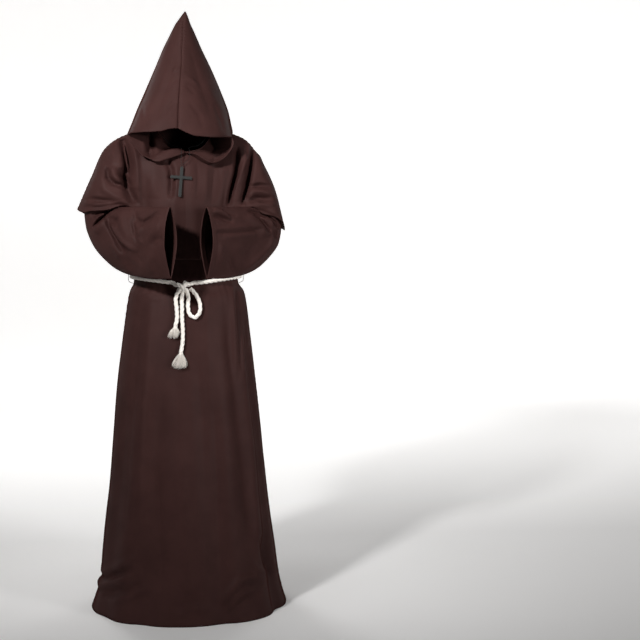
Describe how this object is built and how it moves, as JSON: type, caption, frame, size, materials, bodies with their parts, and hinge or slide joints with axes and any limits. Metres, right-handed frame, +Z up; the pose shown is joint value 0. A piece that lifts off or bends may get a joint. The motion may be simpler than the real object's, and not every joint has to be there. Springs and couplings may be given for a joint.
{
  "type": "monk costume",
  "caption": "Dark brown monk costume held as worn: long hooded robe with crossed wide sleeves, shoulder cape, knotted rope belt and a plain cross on a chain",
  "frame": {"origin": "between the wearer's shoulders at the height of the neck seam's front, where the costume hangs from the shoulders", "axes": "+Z up, the front faces -Y, the wearer's left is +X"},
  "size_m": [0.6367, 0.5444, 1.831],
  "materials": {
    "cloth": "soft satin, dark brown polyester",
    "rope": "matte twisted cotton",
    "metal": "dull dark grey"
  },
  "bodies": {
    "root": {"robe_front": "cloth", "robe_back": "cloth", "sleeve_right": "cloth", "sleeve_left": "cloth", "cape_front": "cloth", "cape_back": "cloth", "hood_right": "cloth", "hood_left": "cloth", "rope_knot": "rope", "rope_belt": "rope", "rope_bow_loop": "rope", "rope_end_short": "rope", "rope_end_long": "rope", "tassel_short": "rope", "tassel_long": "rope", "belt_loop_right": "cloth", "belt_loop_left": "cloth", "pendant_cross": "metal", "pendant_chain": "metal"}
  },
  "joints": []
}
